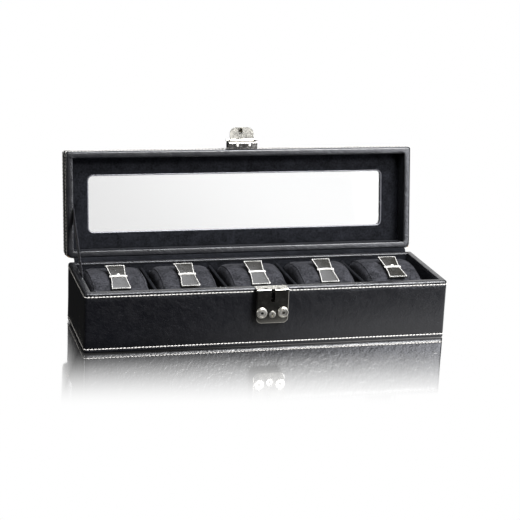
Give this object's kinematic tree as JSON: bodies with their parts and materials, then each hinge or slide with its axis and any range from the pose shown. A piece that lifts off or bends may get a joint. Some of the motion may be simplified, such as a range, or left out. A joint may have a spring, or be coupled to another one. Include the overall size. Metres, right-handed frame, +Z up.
{
  "type": "watch box",
  "caption": "Leather covered watch box standing open: glazed lid on hinges, velvet compartments with lift-out cushions, keyed case lock with hasp.",
  "frame": {"origin": "centre of the underside, on the surface that the box stands on", "axes": "+X along the front to the right, +Y from front to back, +Z up"},
  "size_m": [0.34, 0.1536, 0.1765],
  "materials": {
    "board": "raw fibreboard",
    "leather": "smooth, satin sheen",
    "tab_leather": "smooth, satin sheen",
    "felt": "pressed felt",
    "cushion_velvet": "short pile velvet",
    "velvet": "short pile velvet",
    "foam": "open cell foam",
    "glass": "polished",
    "ribbon": "woven satin ribbon",
    "steel": "plated",
    "nickel": "polished nickel plate"
  },
  "bodies": {
    "base": {"base_bottom_board": "board", "base_front_board": "board", "base_back_board": "board", "base_left_board": "board", "base_right_board": "board", "base_leather": "leather", "base_underside_felt": "felt", "base_floor_lining": "velvet", "base_wall_lining": "velvet", "divider_1": "velvet", "divider_2": "velvet", "divider_3": "velvet", "divider_4": "velvet", "lock_case": "nickel", "lock_back_plate": "steel", "lock_rivets": "nickel", "lock_detent_spring": "steel", "hinge_left_base_leaf": "steel", "hinge_right_base_leaf": "steel", "hinge_left_pin": "steel", "hinge_right_pin": "steel", "hinge_base_screws": "steel", "ribbon_stay": "ribbon"},
    "lid": {"lid_front_board": "board", "lid_back_board": "board", "lid_left_board": "board", "lid_right_board": "board", "lid_top_board": "board", "lid_side_leather": "leather", "lid_top_leather": "leather", "lid_glass": "glass", "lid_inner_panel": "velvet", "lid_wall_lining": "velvet", "lid_lock_case": "nickel", "lid_lock_pins": "nickel", "hasp_pin": "nickel", "hinge_left_lid_leaf": "steel", "hinge_right_lid_leaf": "steel", "hinge_lid_screws": "steel"},
    "hasp": {"hasp": "nickel"},
    "key": {"lock_key_cylinder": "nickel"},
    "bolt": {"lock_bolt": "steel"},
    "cushion_1": {"cushion_1_cover": "cushion_velvet", "cushion_1_foam": "foam", "cushion_1_tab": "tab_leather"},
    "cushion_2": {"cushion_2_cover": "cushion_velvet", "cushion_2_foam": "foam", "cushion_2_tab": "tab_leather"},
    "cushion_3": {"cushion_3_cover": "cushion_velvet", "cushion_3_foam": "foam", "cushion_3_tab": "tab_leather"},
    "cushion_4": {"cushion_4_cover": "cushion_velvet", "cushion_4_foam": "foam", "cushion_4_tab": "tab_leather"},
    "cushion_5": {"cushion_5_cover": "cushion_velvet", "cushion_5_foam": "foam", "cushion_5_tab": "tab_leather"}
  },
  "joints": [
    {"name": "lid_hinge", "type": "hinge", "parent": "base", "child": "lid", "pos_m": [0, 0.053, 0.0551], "axis": [-1, 0, 0], "range_deg": [-99.4, 0], "deforming": ["ribbon_stay"]},
    {"name": "hasp_hinge", "type": "hinge", "parent": "lid", "child": "hasp", "pos_m": [0, 0.07823, 0.16404], "axis": [-1, 0, 0], "range_deg": [-90, 0]},
    {"name": "key_turn", "type": "hinge", "parent": "base", "child": "key", "pos_m": [0, -0.057, 0.0325], "axis": [0, -1, 0], "range_deg": [0, 90]},
    {"name": "bolt_slide", "type": "slide", "parent": "base", "child": "bolt", "axis": [-1, 0, 0], "range_m": [0, 0.00594]},
    {"name": "cushion_1_lift", "type": "slide", "parent": "base", "child": "cushion_1", "axis": [0, 0, 1], "range_m": [0, 0.06]},
    {"name": "cushion_2_lift", "type": "slide", "parent": "base", "child": "cushion_2", "axis": [0, 0, 1], "range_m": [0, 0.06]},
    {"name": "cushion_3_lift", "type": "slide", "parent": "base", "child": "cushion_3", "axis": [0, 0, 1], "range_m": [0, 0.06]},
    {"name": "cushion_4_lift", "type": "slide", "parent": "base", "child": "cushion_4", "axis": [0, 0, 1], "range_m": [0, 0.06]},
    {"name": "cushion_5_lift", "type": "slide", "parent": "base", "child": "cushion_5", "axis": [0, 0, 1], "range_m": [0, 0.06]}
  ],
  "couplings": [
    {"joint": "key_turn", "follows": "bolt_slide", "rad_per_m": 264.46}
  ]
}
